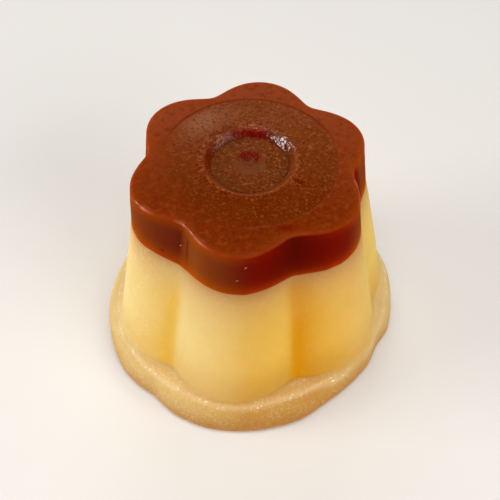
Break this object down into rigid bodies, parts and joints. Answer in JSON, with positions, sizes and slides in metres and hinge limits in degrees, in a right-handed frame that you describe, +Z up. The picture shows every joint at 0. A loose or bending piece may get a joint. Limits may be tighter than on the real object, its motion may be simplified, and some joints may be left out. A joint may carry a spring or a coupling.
{
  "type": "caramel pudding",
  "caption": "Moulded custard pudding turned out of a fluted cup, with a dark caramel layer on top and a rounded skirt at the base.",
  "frame": {"origin": "on the surface the pudding stands on, under the middle of its outline", "axes": "+Z up through the caramel top; -Y is the front, where one lobe faces almost straight out; +X is to the right"},
  "size_m": [0.0692, 0.0682, 0.052],
  "materials": {
    "custard": "smooth set custard, moist satin, pale yellow with deeper yellow in the valleys and a tan skirt",
    "caramel": "translucent red-brown caramel jelly, moist gloss at the side, fine grain on top"
  },
  "bodies": {
    "root": {"custard": "custard", "caramel": "caramel"}
  },
  "joints": []
}
